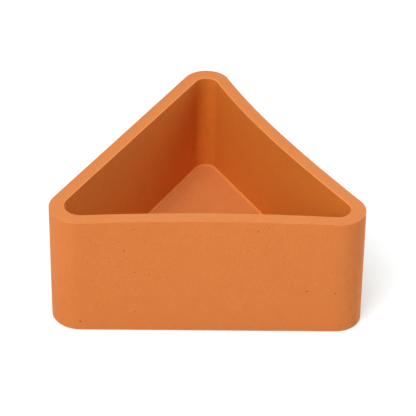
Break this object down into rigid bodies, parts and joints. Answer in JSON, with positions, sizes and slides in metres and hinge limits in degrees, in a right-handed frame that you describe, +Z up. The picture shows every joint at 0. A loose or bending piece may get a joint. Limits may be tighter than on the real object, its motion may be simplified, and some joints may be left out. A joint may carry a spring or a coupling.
{
  "type": "triangular planter",
  "caption": "Low open-topped planter with a triangular plan, rounded corners and a thick floor, with a lift-out drain stopper and small pads under its corners.",
  "frame": {"origin": "middle of the rectangle that bounds the plan, on the surface that the pads stand on", "axes": "+Z up through the open top, +X along the front wall towards its right end, +Y from the front wall to the rear corner"},
  "size_m": [0.1414, 0.127, 0.06],
  "materials": {
    "vessel": "unglazed, matt, fine sand grain with pinholes",
    "stopper": "soft moulded silicone, satin",
    "pads": "matt"
  },
  "bodies": {
    "vessel": {"pot": "vessel", "foot_pad_left": "pads", "foot_pad_right": "pads", "foot_pad_rear": "pads"},
    "stopper": {"drain_plug": "stopper"}
  },
  "joints": [
    {"name": "stopper_lift", "type": "slide", "parent": "vessel", "child": "stopper", "axis": [0, 0, 1], "range_m": [0, 0.07]}
  ]
}
